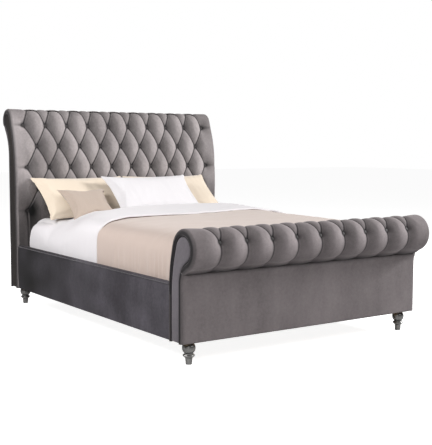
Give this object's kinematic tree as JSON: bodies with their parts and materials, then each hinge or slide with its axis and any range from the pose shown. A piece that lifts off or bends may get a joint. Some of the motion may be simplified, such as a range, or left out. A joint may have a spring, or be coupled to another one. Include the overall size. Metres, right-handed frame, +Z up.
{
  "type": "sleigh bed",
  "caption": "Upholstered double sleigh bed with a scrolled deep-buttoned headboard, a rolled footboard, padded side rails, turned metal feet, slatted base, mattress, bedding and pillows.",
  "frame": {"origin": "on the floor, at the centre of the bed's plan", "axes": "+X to the right as seen from the foot end, +Y towards the headboard, +Z up"},
  "size_m": [1.7, 2.505, 1.3849],
  "materials": {
    "velvet": "matte",
    "velvet_piping": "matte",
    "button_velvet": "matte",
    "button_metal": "satin",
    "foam": "matte",
    "plywood": "matte",
    "timber": "matte",
    "foot_metal": "satin",
    "zinc_steel": "satin",
    "glide_plastic": "matte",
    "mattress_ticking": "matte",
    "beige_cotton": "matte",
    "tan_cotton": "matte",
    "white_cotton": "matte"
  },
  "bodies": {
    "frame": {"headboard_front_cover": "velvet", "headboard_back_cover": "velvet", "headboard_foam": "foam", "headboard_front_board": "plywood", "headboard_back_board": "plywood", "headboard_formers": "plywood", "headboard_posts": "timber", "headboard_cross_rails": "timber", "headboard_roll_rail": "timber", "headboard_bottom_rail": "timber", "headboard_facing_left": "velvet", "headboard_facing_right": "velvet", "headboard_piping": "velvet_piping", "headboard_buttons": "button_velvet", "footboard_roll_cover": "velvet", "footboard_outer_cover": "velvet", "footboard_inner_cover": "velvet", "footboard_foam": "foam", "footboard_inner_board": "plywood", "footboard_outer_board": "plywood", "footboard_formers": "plywood", "footboard_posts": "timber", "footboard_cross_rail": "timber", "footboard_roll_rail": "timber", "footboard_bottom_rail": "timber", "footboard_facing_left": "velvet", "footboard_facing_right": "velvet", "footboard_piping": "velvet_piping", "footboard_buttons": "button_metal", "foot_head_left": "foot_metal", "foot_head_right": "foot_metal", "foot_end_left": "foot_metal", "foot_end_right": "foot_metal", "side_rail_board_left": "timber", "side_rail_board_right": "timber", "side_rail_cover_left": "velvet", "side_rail_cover_right": "velvet", "side_rail_piping": "velvet_piping", "slat_ledges": "timber", "corner_brackets": "zinc_steel", "bed_bolts": "zinc_steel", "centre_rail": "timber", "centre_rail_hangers": "zinc_steel", "slats": "timber", "centre_legs": "timber"},
    "glide_pad_head": {"glide_pad_head": "glide_plastic"},
    "glide_stem_head": {"glide_stem_head": "zinc_steel"},
    "glide_pad_foot": {"glide_pad_foot": "glide_plastic"},
    "glide_stem_foot": {"glide_stem_foot": "zinc_steel"},
    "bedding": {"mattress": "mattress_ticking", "blanket": "beige_cotton", "duvet": "white_cotton"},
    "pillow_back_left": {"pillow_back_left": "beige_cotton"},
    "pillow_back_right": {"pillow_back_right": "beige_cotton"},
    "pillow_front_left": {"pillow_front_left": "tan_cotton"},
    "pillow_front_middle": {"pillow_front_middle": "white_cotton"}
  },
  "joints": [
    {"name": "bedding_lift", "type": "slide", "parent": "frame", "child": "bedding", "axis": [0, 0, 1], "range_m": [0, 1.05]},
    {"name": "pillow_back_left_slide", "type": "slide", "parent": "bedding", "child": "pillow_back_left", "axis": [-1, 0, 0], "range_m": [0, 0.5]},
    {"name": "pillow_back_right_slide", "type": "slide", "parent": "bedding", "child": "pillow_back_right", "axis": [1, 0, 0], "range_m": [0, 0.5]},
    {"name": "pillow_front_left_lift", "type": "slide", "parent": "bedding", "child": "pillow_front_left", "axis": [0, 0, 1], "range_m": [0, 0.5]},
    {"name": "pillow_front_middle_lift", "type": "slide", "parent": "bedding", "child": "pillow_front_middle", "axis": [0, 0, 1], "range_m": [0, 0.5]},
    {"name": "glide_head_rise", "type": "slide", "parent": "frame", "child": "glide_pad_head", "axis": [0, 0, 1], "range_m": [0, 0.012]},
    {"name": "glide_head_turn", "type": "hinge", "parent": "glide_pad_head", "child": "glide_stem_head", "pos_m": [0, 0.4, 0.02], "axis": [0, 0, 1], "range_deg": [0, 2880]},
    {"name": "glide_foot_rise", "type": "slide", "parent": "frame", "child": "glide_pad_foot", "axis": [0, 0, 1], "range_m": [0, 0.012]},
    {"name": "glide_foot_turn", "type": "hinge", "parent": "glide_pad_foot", "child": "glide_stem_foot", "pos_m": [0, -0.4, 0.02], "axis": [0, 0, 1], "range_deg": [0, 2880]}
  ],
  "couplings": [
    {"joint": "glide_head_rise", "follows": "glide_head_turn", "m_per_rad": 0.00023873},
    {"joint": "glide_foot_rise", "follows": "glide_foot_turn", "m_per_rad": 0.00023873}
  ]
}
